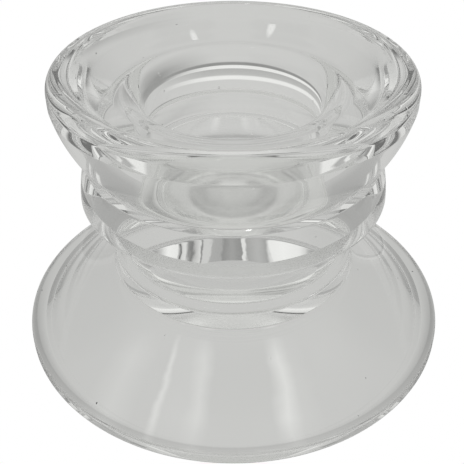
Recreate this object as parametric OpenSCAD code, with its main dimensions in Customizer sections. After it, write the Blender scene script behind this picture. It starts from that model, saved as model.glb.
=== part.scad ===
// Candle holder pressed from clear glass, turned about the Z axis.
// A drip dish with a round candle cup stands on a collar, a stepped neck and a wide, hollow foot.
// The sub-parts meet face to face at the moulded grooves and steps.

/* [Foot] */
// Diameter of the foot
foot_d = 104; // [94:0.5:124]
// Height of the foot up to the step ring
foot_h = 17.6; // [16:0.1:22]
// Thickness of the foot's outer edge
foot_edge_h = 4.2; // [3.2:0.1:6]
// Rounding of the foot's outer edge, above and below
foot_edge_round = 1.5; // [0.5:0.1:1.9]
// Diameter of the foot's slope where it meets the step ring
foot_top_d = 59.4; // [58:0.2:66]
// How far the foot's slope is dished below a straight cone
foot_sag = 1.2; // [0:0.1:2.5]
// Width of the ring that the foot rests on
foot_land_w = 4.5; // [3:0.1:9]

/* [Step ring] */
// Diameter of the step ring under the neck
step_ring_d = 58; // [55:0.2:59]
// Height of the step ring
step_ring_h = 5.1; // [3.5:0.1:7]
// Rounding of the step ring's edges
step_ring_round = 1; // [0.3:0.1:1.5]

/* [Neck] */
// Diameter of the neck at the groove above the step ring
neck_groove_d = 52.5; // [48:0.1:54]
// Diameter of the neck under the collar
neck_top_d = 54; // [50:0.2:62]
// Height of the neck
neck_h = 14.1; // [9:0.1:20]

/* [Collar] */
// Diameter of the collar at its lower edge, where it is widest
collar_d = 71; // [66:0.2:76]
// Diameter of the collar's face at the top
collar_top_d = 67.6; // [66.4:0.2:70]
// Height of the collar
collar_h = 11.4; // [9:0.1:15]
// How far the collar's face bulges out between its edges
collar_bulge = 0.3; // [0:0.1:1.5]
// Rounding of the collar's lower edge
collar_round = 1.4; // [0.3:0.1:3]
// Diameter at the bottom of the groove between collar and dish
notch_d = 65.8; // [60:0.2:66]
// Height of the sloping upper flank of the collar
notch_flank_h = 1.2; // [0.5:0.1:3]

/* [Drip dish] */
// Diameter of the dish's rim
rim_d = 79.4; // [76:0.2:96]
// Height of the dish from the groove to the top of the rim
dish_h = 19.8; // [17:0.1:26]
// Rounding of the rim's bead
bead_round = 3; // [1:0.1:4]
// Height of the upright band at the rim, above the sloping side
rim_band_h = 5.5; // [4:0.1:8]
// How far the dish's sloping side bows out
side_bow = 1; // [0:0.1:1.5]
// Width of the rim's bead across its top
bead_w = 4.3; // [2:0.1:5]
// Width of the whole rim, down to the dish's surface
rim_w = 6.7; // [5.5:0.1:9]
// Depth of the dish's surface below the rim, at its outer edge
rim_step_h = 2.8; // [0.6:0.1:4]
// Rounding of the bend between rim and dish
dish_round = 6; // [1:0.5:9]
// Fall of the dish's surface from the rim to the cup
dish_fall = 2.9; // [1:0.1:5]

/* [Candle cup] */
// Inside diameter of the cup, for a candle 38 mm across
cup_d = 39; // [36:0.5:42]
// Depth of the cup below its lip
cup_depth = 16.6; // [12:0.1:17]
// Rounding of the cup's lip
lip_round = 4.6; // [1:0.1:5.5]
// Rounding of the cup's inside corner
cup_corner_round = 1.5; // [0.5:0.1:4]
// Thickness of the cup's wall
cup_wall = 6; // [5.6:0.1:6.6]
// Thickness of the cup's floor
cup_floor_t = 6; // [4:0.1:7]

/* [Hollow under the foot] */
// Thickness of the foot's slope
foot_wall = 3.4; // [3:0.1:5]
// Diameter of the hollow where the foot's slope turns into the dome
hollow_low_d = 55; // [44:0.5:58]
// Diameter of the dome's flat top
hollow_top_d = 24; // [12:0.5:30]
// Height of the dome above the table
hollow_h = 16.4; // [15.4:0.1:20]
// Rounding of the bend between slope and dome
hollow_low_round = 8; // [0.5:0.1:12]
// Rounding of the dome's upper edge
hollow_top_round = 1.2; // [0.5:0.1:5]

/* [Hidden] */
$fn = 96;
arc_steps = 8;
curve_steps = 16;

foot_r = foot_d / 2;
rim_r = rim_d / 2;
collar_r = collar_d / 2;
collar_top_r = collar_top_d / 2;
notch_r = notch_d / 2;
cup_r = cup_d / 2;
cup_outer_r = cup_r + cup_wall;

ring_z = foot_h;
neck_z = ring_z + step_ring_h;
collar_z = neck_z + neck_h;
dish_z = collar_z + collar_h;
top_z = dish_z + dish_h;
dish_edge_z = top_z - rim_step_h;
lip_z = dish_edge_z - dish_fall;
cup_floor_z = lip_z - cup_depth;
cup_under_z = cup_floor_z - cup_floor_t;

function flat(p) = [p[0], p[1]];

// Unit steps from the corner b towards the points a and c, and half the angle between them
function steps(a, b, c) =
    let (u = (a - b) / norm(a - b), v = (c - b) / norm(c - b)) [u, v, acos(u * v) / 2];

// Length along its sides that the rounding of corner i takes when nothing is in its way
function wanted(o, i) =
    let (n = len(o), b = o[(i + n) % n])
    b[2] > 0 ? b[2] / tan(steps(flat(o[(i + n - 1) % n]), flat(b), flat(o[(i + 1) % n]))[2]) : 0;

// Points of the arc that rounds corner i; roundings too big for a side share it between them
function corner(o, i) =
    let (n = len(o), a = flat(o[(i + n - 1) % n]), b = flat(o[i]), c = flat(o[(i + 1) % n]),
        s = steps(a, b, c), w = wanted(o, i),
        reach = w * min(1, norm(a - b) / (w + wanted(o, i - 1)), norm(c - b) / (w + wanted(o, i + 1))),
        radius = reach * tan(s[2]),
        centre = b + (s[0] + s[1]) / norm(s[0] + s[1]) * radius / sin(s[2]),
        p = b + s[0] * reach - centre, q = b + s[1] * reach - centre)
    [for (k = [0:arc_steps]) let (t = k / arc_steps, m = p * (1 - t) + q * t)
        centre + m / norm(m) * radius];

// Outline with each corner rounded by the radius in its third value
function rounded(o) =
    [for (i = [0:len(o) - 1]) each o[i][2] > 0 ? corner(o, i) : [flat(o[i])]];

// Points from a to b, bowed to the left of that way by the given height
function bowed(a, b, height) =
    let (d = b - a, side = [-d[1], d[0]] / norm(d))
    [for (i = [0:curve_steps]) let (t = i / curve_steps)
        concat(a + d * t + side * height * (1 - pow(t + t - 1, 2)), 0)];

module turned(outline) {
    rotate_extrude() polygon(rounded(outline));
}

// Hollow under the foot: the slope's inner face, the bend and the dome
module hollow_cut() {
    turned([
        [0, 0, 0],
        [foot_r - foot_land_w, 0, 0],
        [hollow_low_d / 2, ring_z - foot_wall, hollow_low_round],
        [hollow_top_d / 2, hollow_h, hollow_top_round],
        [0, hollow_h, 0]]);
}

module drip_dish() {
    color([0.8, 0.87, 0.85, 0.5]) turned(concat(
        [[cup_outer_r, dish_z, 0]],
        bowed([notch_r, dish_z], [rim_r, top_z - rim_band_h], -side_bow),
        [[rim_r, top_z, bead_round],
        [rim_r - bead_w, top_z, bead_round],
        [rim_r - rim_w, dish_edge_z, dish_round],
        [cup_outer_r, lip_z, 0]]));
}

module candle_cup() {
    color([0.72, 0.82, 0.86, 0.5]) turned([
        [0, cup_under_z, 0],
        [cup_outer_r, cup_under_z, 0],
        [cup_outer_r, lip_z, 0],
        [cup_r, lip_z, lip_round],
        [cup_r, cup_floor_z, cup_corner_round],
        [0, cup_floor_z, 0]]);
}

module collar() {
    color([0.78, 0.84, 0.78, 0.5]) turned(concat(
        [[0, collar_z, 0],
        [collar_r, collar_z, collar_round]],
        bowed([collar_r, collar_z + collar_round], [collar_top_r, dish_z - notch_flank_h], -collar_bulge),
        [[notch_r, dish_z, 0],
        [cup_outer_r, dish_z, 0],
        [cup_outer_r, cup_under_z, 0],
        [0, cup_under_z, 0]]));
}

module neck() {
    color([0.82, 0.82, 0.76, 0.5]) turned([
        [0, neck_z, 0],
        [neck_groove_d / 2, neck_z, 0],
        [neck_top_d / 2, collar_z, 0],
        [0, collar_z, 0]]);
}

module step_ring() {
    color([0.76, 0.8, 0.84, 0.5]) difference() {
        turned([
            [0, ring_z, 0],
            [step_ring_d / 2, ring_z, 0],
            [step_ring_d / 2, neck_z, step_ring_round],
            [0, neck_z, 0]]);
        hollow_cut();
    }
}

module foot() {
    color([0.84, 0.88, 0.88, 0.5]) difference() {
        turned(concat(
            [[0, 0, 0],
            [foot_r, 0, foot_edge_round],
            [foot_r, foot_edge_h, foot_edge_round]],
            bowed([foot_r - foot_edge_round, foot_edge_h], [foot_top_d / 2, ring_z], foot_sag),
            [[0, ring_z, 0]]));
        hollow_cut();
    }
}

drip_dish();
candle_cup();
collar();
neck();
step_ring();
foot();
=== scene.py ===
"""Looks of the clear pressed-glass candle holder: one seamless glass body on a plain pale floor."""
import math
import bpy
import numpy as np
from mathutils import Matrix


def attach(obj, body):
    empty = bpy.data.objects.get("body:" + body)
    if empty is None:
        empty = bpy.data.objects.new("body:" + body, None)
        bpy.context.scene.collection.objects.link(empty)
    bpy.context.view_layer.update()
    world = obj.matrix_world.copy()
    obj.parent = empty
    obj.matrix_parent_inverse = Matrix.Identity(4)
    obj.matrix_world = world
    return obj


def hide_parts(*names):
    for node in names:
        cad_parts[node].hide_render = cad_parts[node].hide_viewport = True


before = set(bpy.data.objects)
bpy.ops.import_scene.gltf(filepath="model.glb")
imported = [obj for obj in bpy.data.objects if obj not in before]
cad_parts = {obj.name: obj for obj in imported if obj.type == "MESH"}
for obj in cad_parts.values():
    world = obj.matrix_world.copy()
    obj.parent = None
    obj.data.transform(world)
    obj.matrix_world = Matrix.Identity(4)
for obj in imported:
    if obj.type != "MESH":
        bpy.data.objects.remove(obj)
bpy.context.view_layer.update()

MM = 0.001

# Radii and heights in millimetres, as in the part's source
FOOT_R, FOOT_H, FOOT_EDGE_H, FOOT_EDGE_ROUND = 52.0, 17.6, 4.2, 1.5
FOOT_TOP_R, FOOT_SAG, FOOT_LAND_W, FOOT_EASE = 29.7, 1.2, 4.5, 0.6
STEP_R, STEP_H, STEP_ROUND = 29.0, 5.1, 1.0
NECK_GROOVE_R, NECK_TOP_R, NECK_H = 26.25, 27.0, 14.1
COLLAR_R, COLLAR_TOP_R, COLLAR_H, COLLAR_BULGE, COLLAR_ROUND = 35.5, 33.8, 11.4, 0.3, 1.4
NOTCH_R, NOTCH_FLANK_H, NOTCH_ROUND = 32.9, 1.2, 0.4
RIM_R, DISH_H, BEAD_ROUND, BEAD_W, RIM_BAND_H, SIDE_BOW = 39.7, 19.8, 3.0, 4.3, 5.5, 1.0
RIM_W, RIM_STEP_H, DISH_ROUND, DISH_FALL = 6.7, 2.8, 6.0, 2.9
CUP_R, CUP_DEPTH, CUP_WALL, LIP_ROUND, CUP_CORNER_ROUND = 19.5, 16.6, 6.0, 4.6, 1.5
HOLLOW_LOW_R, HOLLOW_LOW_Z, HOLLOW_TOP_R, HOLLOW_H = 27.5, 14.2, 12.0, 16.4
HOLLOW_LOW_ROUND, HOLLOW_TOP_ROUND = 8.0, 1.2

STEP_Z = FOOT_H
NECK_Z = STEP_Z + STEP_H
COLLAR_Z = NECK_Z + NECK_H
DISH_Z = COLLAR_Z + COLLAR_H
TOP_Z = DISH_Z + DISH_H
DISH_EDGE_Z = TOP_Z - RIM_STEP_H
LIP_Z = DISH_EDGE_Z - DISH_FALL
CUP_FLOOR_Z = LIP_Z - CUP_DEPTH

# The mesh: points around the axis, spacing of the rings on straight runs, and angle of one step in an arc
AROUND = 240
RING_GAP = 1.1
ARC_STEP = 6
# The pressing waves: their height, how often they go round, and where they fade out, near axis and table
WAVE_HEIGHT = 0.004
WAVE_ORDERS = (2, 3, 5, 7, 11, 16)
CALM_R, CALM_Z = 4.0, 0.8
# Rounding of the nearly sharp creases, of the step ring's root, and of a bowed line's points
CREASE, RING_ROOT, BOW_BLEND = 0.5, 0.3, 60.0

# The tables below are stops (value, grey level) or (value, share), with straight lines between them. A span
# gives the least and the greatest value that the tables named after it can hold.

# Scuffs on the cup's floor: share by height in metres, share by the square of the distance from the axis in
# metres, least roughness, and how much a noise adds to it
SCUFF_HEIGHT_SPAN = (0.04, 0.05)
SCUFF_HEIGHT = [((CUP_FLOOR_Z - 0.3) * MM, 0), ((CUP_FLOOR_Z - 0.2) * MM, 1),
                ((CUP_FLOOR_Z + 0.3) * MM, 1), ((CUP_FLOOR_Z + 1.2) * MM, 0)]
SCUFF_WIDTH_SPAN = (0, 0.001)
SCUFF_WIDTH = [(0.00038, 1), (0.0004, 0)]
SCUFF_LEAST, SCUFF_MORE = 0.06, 0.12
# Pits: their depth by the distance from a cell's centre, as a share of the cells' size
PIT_SPAN = (0, 1)
PIT = [(0.015, 1), (0.045, 0)]

# Colour of the light that the glass sees, and of what the camera sees beside the glass
STUDIO_TINT = (1.0, 1.0, 0.985, 1)
WHITE = (1, 1, 1, 1)
BOARD_GREY = 0.58

# Board by distance from the axis in metres: the soft shade around the foot, in front and behind
NEAR_SPAN = (0, 0.1)
NEAR_FRONT = [(0.0, 0.57), (0.0475, 0.57), (0.0495, 0.42), (0.0515, 0.25), (0.054, 0.3), (0.058, 0.34),
              (0.066, 0.48), (0.08, 0.58)]
NEAR_BACK = [(0.0, 0.58), (0.05, 0.56), (0.0515, 0.38), (0.057, 0.36), (0.06, 0.56), (0.066, 0.58), (0.08, 0.6)]
# Board further out: dark and bright stripes behind, darker sides, and one darker thing behind on the left
FAR_SPAN = (0, 0.6)
FAR_BACK = [(0.08, 0.6), (0.185, 0.6), (0.198, 0.28), (0.235, 0.28), (0.25, 0.85), (0.35, 0.85), (0.375, 0.45),
            (0.42, 0.5), (0.435, 0.85), (0.465, 0.85), (0.48, 0.6)]
FAR_SIDE = [(0.08, 0.6), (0.1, 0.5), (0.12, 0.15), (0.6, 0.12)]
FAR_LEFT = [(0.08, 0.6), (0.1, 0.45), (0.14, 0.31), (0.28, 0.31), (0.36, 0.58)]
# Where sides and left thing stand, by bearing in radians from straight behind, right positive
TURN_SPAN = (-math.pi, math.pi)
SIDE_SHARE = [(-2.85, 0.0), (-2.7, 1.0), (-2.0, 1.0), (-1.85, 0.0), (1.85, 0.0), (2.0, 1.0), (2.7, 1.0),
              (2.85, 0.0)]
LEFT_SHARE = [(-1.0, 0.0), (-0.7, 1.0), (-0.4, 1.0), (-0.1, 0.0)]
# Where the near board ends, and how the board behind takes over from the front along Y, in metres
NEAR_END = [(0.07, 0), (0.09, 1)]
BEHIND_SPAN = (-0.02, 0.02)
BEHIND = [(-0.015, 0), (0.015, 1)]
# Painted light: bright caustic streaks under the front of the foot, by distance from the middle plane at the
# axis, and their reach along Y; they fan out by STREAK_FAN per metre towards the front and waver by STREAK_WAVER,
# in metres
STREAK_SPAN = (-0.03, 0.03)
STREAKS = [(-0.024, 0.0), (-0.0195, 0.05), (-0.015, 0.0), (-0.0126, 0.0), (-0.0118, 0.14), (-0.011, 0.02),
           (-0.008, 0.03), (-0.006, 0.1), (-0.004, 0.0), (-0.001, -0.05), (0.003, -0.05), (0.006, 0.0),
           (0.0084, 0.16), (0.0105, 0.03), (0.014, 0.0)]
STREAK_REACH_SPAN = (-0.06, 0)
STREAK_REACH = [(-0.05, 0), (-0.04, 1), (-0.02, 1), (-0.009, 0)]
STREAK_FAN, STREAK_WAVER = -12.0, 0.005
# Room by elevation in degrees, behind and before the holder, and how behind takes over along Y
ELEVATION_SPAN = (-90, 90)
BACK_WALL = [(-90, 0.58), (0, 0.5), (4, 0.42), (20, 0.38), (28, 0.34), (35, 0.4), (40, 0.55), (46, 0.5),
             (60, 0.55), (75, 0.7), (90, 0.6)]
FRONT_WALL = [(-90, 0.58), (0, 0.58), (20, 0.64), (35, 0.8), (46, 0.9), (53, 0.66), (64, 0.6), (75, 0.74),
              (90, 0.6)]
BACK_SHARE_SPAN = (-1, 1)
BACK_SHARE = [(-0.3, 0), (0.3, 1)]
# Dark side walls by bearing and by elevation in degrees, and their grey level
BEARING_SPAN = (-180, 180)
SIDE_WALLS = [(-168, 0.0), (-160, 0.95), (-110, 0.95), (-95, 0.0), (95, 0.0), (110, 0.95), (160, 0.95),
              (168, 0.0)]
SIDE_HEIGHT = [(-2, 1), (18, 1), (26, 0)]
SIDE_GREY = 0.06
# Windows and doors on the back wall as light and dark blocks by bearing, and the field that they fill
BLOCK_SPAN = (-16, 16)
WINDOW_BLOCKS = [(-16, 0.6), (-13, 0.85), (-9, 0.9), (-6.5, 0.85), (-5.6, 0.36), (-4, 0.45), (-2.5, 0.38),
                 (-2.2, 0.36), (-1.9, 0.75), (-1.5, 0.75), (-1.3, 0.26), (0.2, 0.34), (1.6, 0.26), (2, 0.38),
                 (3.6, 0.4), (3.9, 0.6), (5, 0.6), (5.3, 0.15), (5.6, 0.7), (6.8, 0.5), (7.3, 0.2), (8, 0.3),
                 (8.6, 0.75), (9.6, 0.7), (10, 0.1), (10.5, 0.85), (13, 0.9), (15, 0.6)]
WINDOW_HEIGHT = [(13, 0), (15, 1), (26, 1), (28, 0)]
WINDOW_WIDTH_SPAN = (-30, 30)
WINDOW_WIDTH = [(-17, 0), (-15, 1), (15, 1), (17, 0)]
WINDOW_DRIFT = 1.6
# Small lamps overhead: bearing and elevation in degrees, glow by the cosine of the angle to them, and strength
CEILING_LAMPS = [(14, 61), (-12, 61), (-11, 64)]
LAMP_SPAN = (0.999, 1)
LAMP_GLOW = [(0.9999, 0), (0.99998, 1)]
LAMP_STRENGTH = 4.0


def bowed(a, b, height, steps=9):
    """Corner points of a line from a to b, bowed to its right by height x (1 - (2t - 1)^2), t from 0 to 1."""
    t = np.linspace(0, 1, steps)[:, None]
    a, b = np.array(a, float), np.array(b, float)
    along = (b - a) / np.linalg.norm(b - a)
    right = np.array([along[1], -along[0]])
    points = a + (b - a) * t + right * height * (1 - (2 * t - 1) ** 2)
    return [(r, z, BOW_BLEND if 0 < k < steps - 1 else CREASE) for k, (r, z) in enumerate(points)]


def glass_outline():
    """Corners (radius, height, rounding) of the half section, from the cup's floor over the rim to the hollow."""
    side = bowed((RIM_R, TOP_Z - RIM_BAND_H), (NOTCH_R, DISH_Z), -SIDE_BOW)
    band = bowed((COLLAR_TOP_R, DISH_Z - NOTCH_FLANK_H), (COLLAR_R, COLLAR_Z + COLLAR_ROUND), -COLLAR_BULGE)
    slope = bowed((FOOT_TOP_R, STEP_Z), (FOOT_R - FOOT_EDGE_ROUND, FOOT_EDGE_H), FOOT_SAG)
    return ([(0, CUP_FLOOR_Z, 0),
             (CUP_R, CUP_FLOOR_Z, CUP_CORNER_ROUND),
             (CUP_R, LIP_Z, LIP_ROUND),
             (CUP_R + CUP_WALL, LIP_Z, DISH_ROUND),
             (RIM_R - RIM_W, DISH_EDGE_Z, DISH_ROUND),
             (RIM_R - BEAD_W, TOP_Z, BEAD_ROUND),
             (RIM_R, TOP_Z, BEAD_ROUND)]
            + side[:-1]
            + [(NOTCH_R, DISH_Z, NOTCH_ROUND)]
            + band
            + [(COLLAR_R, COLLAR_Z, COLLAR_ROUND),
               (NECK_TOP_R, COLLAR_Z, CREASE),
               (NECK_GROOVE_R, NECK_Z, CREASE),
               (STEP_R, NECK_Z, STEP_ROUND),
               (STEP_R, STEP_Z, RING_ROOT)]
            + slope
            + [(FOOT_R, FOOT_EDGE_H, FOOT_EDGE_ROUND),
               (FOOT_R, 0, FOOT_EDGE_ROUND),
               (FOOT_R - FOOT_LAND_W, 0, FOOT_EASE),
               (HOLLOW_LOW_R, HOLLOW_LOW_Z, HOLLOW_LOW_ROUND),
               (HOLLOW_TOP_R, HOLLOW_H, HOLLOW_TOP_ROUND),
               (0, HOLLOW_H, 0)])


def rounded(corners):
    """The outline with each corner turned into a tangent arc.

    The arc of radius q at a corner starts and ends q / tan(half the corner's angle) away from it; where
    two arcs need more than the side between them, both shrink in proportion. Straight runs get points
    every RING_GAP millimetres. Returns the points and the unit tangents, as arrays."""
    place = np.array([c[:2] for c in corners], float)
    side = np.diff(place, axis=0)
    length = np.linalg.norm(side, axis=1)
    way = side / length[:, None]
    turn = np.arccos(np.clip((way[:-1] * way[1:]).sum(1), -1, 1))
    wanted = np.zeros(len(corners))
    wanted[1:-1] = np.array([c[2] for c in corners[1:-1]]) * np.tan(turn / 2)
    points, tangents = [place[:1]], [way[:1]]
    for k in range(1, len(corners) - 1):
        here, u, v, bend = place[k], -way[k - 1], way[k], turn[k - 1]
        if wanted[k] < 1e-6:
            arc, tangent = here[None], v[None]
        else:
            reach = wanted[k] * min(1, length[k - 1] / (wanted[k - 1] + wanted[k]),
                                    length[k] / (wanted[k] + wanted[k + 1]))
            radius = reach / math.tan(bend / 2)
            centre = here + (u + v) / np.linalg.norm(u + v) * radius / math.cos(bend / 2)
            t = np.linspace(0, 1, max(2, int(math.degrees(bend) / ARC_STEP) + 1) + 1)[:, None]
            from_start, to_end = np.sin((1 - t) * bend) / math.sin(bend), np.sin(t * bend) / math.sin(bend)
            arc = centre + from_start * (here + u * reach - centre) + to_end * (here + v * reach - centre)
            tangent = from_start * -u + to_end * v
        last = points[-1][-1]
        run = np.linalg.norm(arc[0] - last)
        if run > RING_GAP:
            t = np.linspace(0, 1, int(run / RING_GAP) + 2)[1:-1, None]
            points.append(last + (arc[0] - last) * t)
            tangents.append(np.repeat(way[k - 1][None], len(t), 0))
        if run < 1e-6:
            arc, tangent = arc[1:], tangent[1:]
        points.append(arc)
        tangents.append(tangent)
    last = points[-1][-1]
    t = np.linspace(0, 1, int(np.linalg.norm(place[-1] - last) / RING_GAP) + 2)[1:, None]
    points.append(last + (place[-1] - last) * t)
    tangents.append(np.repeat(way[-1][None], len(t), 0))
    return np.concatenate(points), np.concatenate(tangents)


def pressing_waves(angle, along):
    """Height in millimetres of the soft unevenness of fire-polished glass at an angle and a distance
    along the outline: a few sines of low order around, each drifting slowly along the outline."""
    rng = np.random.default_rng(7)
    height = 0
    for order in WAVE_ORDERS:
        phase, drift, length = rng.uniform(0, 2 * math.pi, 2).tolist() + [rng.uniform(14, 34)]
        height = height + np.sin(order * angle + phase + 1.5 * np.sin(along / length + drift)) / order ** 1.3
    return WAVE_HEIGHT * height


def turned(line, tangent):
    """Points and normals, in millimetres, of the outline turned about Z.

    A point is (r cos a, r sin a, z), with a from 0 to 2 pi, moved along its outward normal by the waves.
    Its normal is the outline's outward normal, less the waves' slope along the outline and around."""
    along = np.concatenate([[0], np.cumsum(np.linalg.norm(np.diff(line, axis=0), axis=1))])
    a, s = np.meshgrid(np.linspace(0, 2 * math.pi, AROUND, endpoint=False), along)
    r, z = line[:, :1], line[:, 1:]
    fade = np.clip(r / CALM_R, 0, 1) * np.clip(z / CALM_Z, 0, 1)
    wave = pressing_waves(a, s) * fade
    step = 1e-3
    slope_around = (pressing_waves(a + step, s) - pressing_waves(a - step, s)) / (2 * step) * fade
    slope_around /= np.maximum(r, 1)
    slope_along = (pressing_waves(a, s + step) - pressing_waves(a, s - step)) / (2 * step) * fade
    radial = np.stack([np.cos(a), np.sin(a), np.zeros_like(a)], -1)
    around = np.stack([-np.sin(a), np.cos(a), np.zeros_like(a)], -1)
    up = np.array([0, 0, 1.0])
    onward = tangent[:, :1, None] * radial + tangent[:, 1:, None] * up
    normal = -tangent[:, 1:, None] * radial + tangent[:, :1, None] * up
    place = r[..., None] * radial + z[..., None] * up + wave[..., None] * normal
    normal = normal - slope_along[..., None] * onward - slope_around[..., None] * around
    return place, normal / np.linalg.norm(normal, axis=-1, keepdims=True)


def glass_body():
    """The whole pressing as one closed surface: rings of quads between neighbouring points of the turned
    outline, and a fan of triangles at each end on the axis. Returns points in metres, faces and normals."""
    line, tangent = rounded(glass_outline())
    place, normal = turned(line, tangent)
    rings = len(line) - 2
    k = np.arange(AROUND)
    beside = (k + 1) % AROUND
    start = (np.arange(rings - 1) * AROUND)[:, None]
    quads = np.stack([start + k, start + AROUND + k, start + AROUND + beside, start + beside], -1)
    tail = (rings - 1) * AROUND
    top_pole, under_pole = rings * AROUND, rings * AROUND + 1
    fans = np.concatenate([np.stack([np.full(AROUND, top_pole), k, beside], -1),
                           np.stack([np.full(AROUND, under_pole), tail + beside, tail + k], -1)])
    points = np.concatenate([place[1:-1].reshape(-1, 3), [[0, 0, line[0, 1]], [0, 0, line[-1, 1]]]])
    normals = np.concatenate([normal[1:-1].reshape(-1, 3), [[0, 0, 1], [0, 0, -1]]])
    return points * MM, [quads.reshape(-1, 4), fans], normals


def new_piece(name, points, faces, normals=None):
    """A smooth mesh object at the origin from arrays of points and of faces, with given normals."""
    mesh = bpy.data.meshes.new(name)
    mesh.from_pydata(points.tolist(), [], [face for group in faces for face in group.tolist()])
    mesh.update()
    mesh.shade_smooth()
    if normals is not None:
        mesh.normals_split_custom_set_from_vertices(normals.tolist())
    piece = bpy.data.objects.new(name, mesh)
    bpy.context.scene.collection.objects.link(piece)
    return piece


def feed(tree, socket, value):
    """Sets an input socket to a number or colour, or links another node's output to it."""
    if isinstance(value, bpy.types.NodeSocket):
        tree.links.new(value, socket)
    else:
        socket.default_value = value


def node(tree, kind, **sockets):
    """A shader node with some of its input sockets set or linked; an underscore stands for a space."""
    made = tree.nodes.new(kind)
    for key, value in sockets.items():
        feed(tree, made.inputs[key.replace("_", " ")], value)
    return made


def arithmetic(tree, kind, *values):
    """The output of a Math node of a kind, such as ADD; each value is a number or another node's output."""
    made = tree.nodes.new("ShaderNodeMath")
    made.operation = kind
    for socket, value in zip(made.inputs, values):
        feed(tree, socket, value)
    return made.outputs[0]


def ramp(tree, value, span, stops):
    """Grey level by a value within a span: stops are (value, level), with straight lines between them."""
    low, high = span
    spread = node(tree, "ShaderNodeMapRange", Value=value, From_Min=low, From_Max=high)
    made = node(tree, "ShaderNodeValToRGB", Fac=spread.outputs[0])
    bar = made.color_ramp
    while len(bar.elements) > 1:
        bar.elements.remove(bar.elements[0])
    for k, (place, level) in enumerate(stops):
        share = (place - low) / (high - low)
        mark = bar.elements[0] if k == 0 else bar.elements.new(share)
        mark.position, mark.color = share, (level, level, level, 1)
    return made.outputs["Color"]


def between(tree, share, first, second):
    """first x (1 - share) + second x share, for grey levels that are numbers or outputs."""
    mix = tree.nodes.new("ShaderNodeMix")
    for socket, value in zip((mix.inputs[0], mix.inputs[2], mix.inputs[3]), (share, first, second)):
        feed(tree, socket, value)
    return mix.outputs[0]


def axis_distance_squared(tree, x, y):
    """x^2 + y^2, the square of the distance from the Z axis."""
    return arithmetic(tree, "ADD", arithmetic(tree, "MULTIPLY", x, x), arithmetic(tree, "MULTIPLY", y, y))


def emptied(owner):
    """The node tree of a new material or world, without the nodes that it comes with."""
    owner.use_nodes = True
    owner.node_tree.nodes.clear()
    return owner.node_tree


def white_beside_glass(tree, kind, level, output):
    """White to the camera's own rays, as the photograph's cut-out ground, and the studio's grey level to
    the rays that the glass bends or mirrors, through light nodes of one kind."""
    path = node(tree, "ShaderNodeLightPath")
    studio = node(tree, kind, Color=STUDIO_TINT, Strength=level)
    white = node(tree, kind, Color=WHITE, Strength=1.0)
    mix = tree.nodes.new("ShaderNodeMixShader")
    sources = (path.outputs["Is Camera Ray"], studio.outputs[0], white.outputs[0])
    for socket, source in zip(mix.inputs, sources):
        feed(tree, socket, source)
    node(tree, output, Surface=mix.outputs[0])


def clear_glass():
    """Colourless pressed glass: sharp refraction, faint greenish tint, fine surface ripple, a few pits
    where a cell's centre meets the surface, and scuffs that blur the cup's floor."""
    mat = bpy.data.materials.new("clear_pressed_glass")
    tree = emptied(mat)
    place = node(tree, "ShaderNodeTexCoord").outputs["Object"]
    x, y, z = node(tree, "ShaderNodeSeparateXYZ", Vector=place).outputs
    ripple = node(tree, "ShaderNodeTexNoise", Vector=place, Scale=90.0, Detail=2.0, Roughness=0.45)
    rippled = node(tree, "ShaderNodeBump", Height=ripple.outputs["Fac"], Strength=0.01, Distance=0.0006)
    cells = node(tree, "ShaderNodeTexVoronoi", Vector=place, Scale=120.0)
    pits = ramp(tree, cells.outputs["Distance"], PIT_SPAN, PIT)
    pitted = node(tree, "ShaderNodeBump", Height=pits, Strength=0.5, Distance=0.0004,
                  Normal=rippled.outputs[0])
    on_floor = ramp(tree, z, SCUFF_HEIGHT_SPAN, SCUFF_HEIGHT)
    in_cup = ramp(tree, axis_distance_squared(tree, x, y), SCUFF_WIDTH_SPAN, SCUFF_WIDTH)
    scuffs = node(tree, "ShaderNodeTexNoise", Vector=place, Scale=260.0, Detail=4.0, Roughness=0.6)
    worn = arithmetic(tree, "MULTIPLY", arithmetic(tree, "MULTIPLY", on_floor, in_cup),
                      arithmetic(tree, "MULTIPLY_ADD", scuffs.outputs["Fac"], SCUFF_MORE, SCUFF_LEAST))
    glass = node(tree, "ShaderNodeBsdfPrincipled", Base_Color=(0.985, 0.99, 0.98, 1), Transmission_Weight=1,
                 IOR=1.5, Roughness=worn, Normal=pitted.outputs[0])
    node(tree, "ShaderNodeOutputMaterial", Surface=glass.outputs[0])
    return mat


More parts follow.
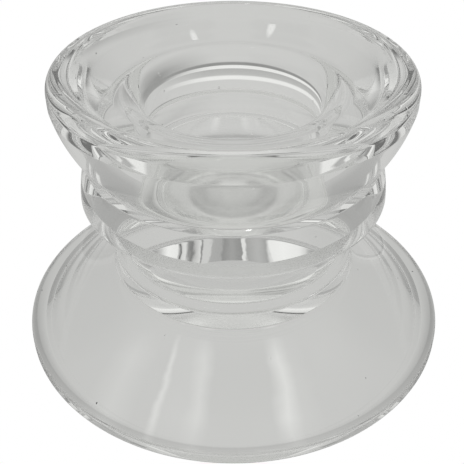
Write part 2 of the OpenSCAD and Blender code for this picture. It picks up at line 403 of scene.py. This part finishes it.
def studio_floor():
    """A wide pale board. The camera sees it white; the glass sees its pale grey with painted shade around
    the foot, painted bright streaks of the light that the foot's glass throws on it, and darker things further
    away."""
    half, drop = 3.0, -1e-4
    points = np.array([(-half, -half, drop), (half, -half, drop), (half, half, drop), (-half, half, drop)])
    floor = new_piece("pale_floor", points, [np.array([[0, 1, 2, 3]])])
    mat = bpy.data.materials.new("pale_floor_painted_shade_and_light")
    tree = emptied(mat)
    place = node(tree, "ShaderNodeTexCoord").outputs["Object"]
    x, y, _ = node(tree, "ShaderNodeSeparateXYZ", Vector=place).outputs
    caustic_wobble = node(tree, "ShaderNodeTexNoise", Vector=place, Scale=60.0, Detail=3.0, Roughness=0.5)
    distance = arithmetic(tree, "SQRT", axis_distance_squared(tree, x, y))
    bearing = arithmetic(tree, "ARCTAN2", x, y)
    behind = ramp(tree, y, BEHIND_SPAN, BEHIND)
    # Painted shade around the foot on the board, in front and behind
    near = between(tree, behind, ramp(tree, distance, NEAR_SPAN, NEAR_FRONT),
                   ramp(tree, distance, NEAR_SPAN, NEAR_BACK))
    # Painted caustic light: bright streaks under the front of the foot, wavered by a noise, fanned out towards
    # the front and added to the board's grey
    waver = arithmetic(tree, "MULTIPLY_ADD", caustic_wobble.outputs["Fac"], STREAK_WAVER, -STREAK_WAVER / 2)
    spread = arithmetic(tree, "MULTIPLY_ADD", y, STREAK_FAN, 1.0)
    fanned = arithmetic(tree, "DIVIDE", arithmetic(tree, "ADD", x, waver), spread)
    near = arithmetic(tree, "MULTIPLY_ADD", ramp(tree, fanned, STREAK_SPAN, STREAKS),
                      ramp(tree, y, STREAK_REACH_SPAN, STREAK_REACH), near)
    far = between(tree, behind, BOARD_GREY, ramp(tree, distance, FAR_SPAN, FAR_BACK))
    for share, levels in ((SIDE_SHARE, FAR_SIDE), (LEFT_SHARE, FAR_LEFT)):
        far = between(tree, ramp(tree, bearing, TURN_SPAN, share), far, ramp(tree, distance, FAR_SPAN, levels))
    shade = between(tree, ramp(tree, distance, NEAR_SPAN, NEAR_END), near, far)
    white_beside_glass(tree, "ShaderNodeEmission", shade, "ShaderNodeOutputMaterial")
    floor.data.materials.append(mat)


def studio_world():
    """A pale room: white to the camera; to the glass soft grey, darker low down at the sides, with light
    and dark window blocks on the wall behind and small lamps overhead."""
    world = bpy.data.worlds.new("studio")
    bpy.context.scene.world = world
    tree = emptied(world)
    direction = node(tree, "ShaderNodeTexCoord").outputs["Generated"]
    x, y, z = node(tree, "ShaderNodeSeparateXYZ", Vector=direction).outputs
    to_degrees = 180 / math.pi
    rise = arithmetic(tree, "MULTIPLY", arithmetic(tree, "ARCSINE", z), to_degrees)
    bearing = arithmetic(tree, "MULTIPLY", arithmetic(tree, "ARCTAN2", x, y), to_degrees)
    room = between(tree, ramp(tree, y, BACK_SHARE_SPAN, BACK_SHARE),
                   ramp(tree, rise, ELEVATION_SPAN, FRONT_WALL), ramp(tree, rise, ELEVATION_SPAN, BACK_WALL))
    sides = arithmetic(tree, "MULTIPLY", ramp(tree, bearing, BEARING_SPAN, SIDE_WALLS),
                       ramp(tree, rise, ELEVATION_SPAN, SIDE_HEIGHT))
    room = between(tree, sides, room, SIDE_GREY)
    speckle = node(tree, "ShaderNodeTexNoise", Vector=direction, Scale=45.0, Detail=3.0, Roughness=0.6)
    drift = arithmetic(tree, "MULTIPLY_ADD", speckle.outputs["Fac"], WINDOW_DRIFT, -WINDOW_DRIFT / 2)
    blocks = ramp(tree, arithmetic(tree, "ADD", bearing, drift), BLOCK_SPAN, WINDOW_BLOCKS)
    field = arithmetic(tree, "MULTIPLY", ramp(tree, rise, ELEVATION_SPAN, WINDOW_HEIGHT),
                       ramp(tree, bearing, WINDOW_WIDTH_SPAN, WINDOW_WIDTH))
    room = between(tree, field, room, blocks)
    for turn, tall in np.radians(CEILING_LAMPS).tolist():
        towards = tree.nodes.new("ShaderNodeVectorMath")
        towards.operation = "DOT_PRODUCT"
        feed(tree, towards.inputs[0], direction)
        feed(tree, towards.inputs[1], (math.sin(turn) * math.cos(tall), math.cos(turn) * math.cos(tall),
                                       math.sin(tall)))
        glow = ramp(tree, towards.outputs["Value"], LAMP_SPAN, LAMP_GLOW)
        room = between(tree, glow, room, LAMP_STRENGTH)
    white_beside_glass(tree, "ShaderNodeBackground", room, "ShaderNodeOutputWorld")


def axis_turn(first, second, angle):
    """The 3 x 3 turn by an angle from one axis towards another, by their numbers."""
    turn = np.eye(3)
    turn[first, first] = turn[second, second] = math.cos(angle)
    turn[first, second], turn[second, first] = -math.sin(angle), math.sin(angle)
    return turn


def camera():
    """The photograph's view: a short distance in front, looking down by about 41 degrees.

    The viewing direction is the fall angle turned by small pitch, yaw and roll angles."""
    fall, pitch, roll, yaw = (math.radians(v) for v in (41.086, -4.565, -0.129, 0.104))
    distance, aim_z, focal_px, frame_px, sensor = 200.0, 3.2, 756.2, 464.0, 36.0
    spot = np.array([0, -distance * math.cos(fall), distance * math.sin(fall) + aim_z])
    ahead = np.array([0, 0, aim_z]) - spot
    ahead /= np.linalg.norm(ahead)
    right = np.array([1.0, 0, 0])
    start = np.array([right, -np.cross(right, ahead), ahead])
    view = axis_turn(0, 1, roll) @ axis_turn(1, 2, pitch) @ axis_turn(2, 0, yaw) @ start
    stand = np.eye(4)
    stand[:3] = np.stack([view[0], -view[1], -view[2], spot * MM], 1)
    data = bpy.data.cameras.new("photo_view")
    data.sensor_width, data.lens, data.clip_start = sensor, focal_px * sensor / frame_px, 0.001
    made = bpy.data.objects.new("photo_view", data)
    bpy.context.scene.collection.objects.link(made)
    made.matrix_world = Matrix(stand.tolist())
    bpy.context.scene.camera = made


camera()
studio_world()
studio_floor()

body = new_piece("glass_body", *glass_body())
body.data.materials.append(clear_glass())
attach(body, "root")
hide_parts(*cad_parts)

bpy.context.scene.view_settings.view_transform = "Standard"
# Thick solid glass turns light many times; with fewer turns some of its paths end black
paths = bpy.context.scene.cycles
paths.max_bounces = paths.transmission_bounces = paths.glossy_bounces = 32
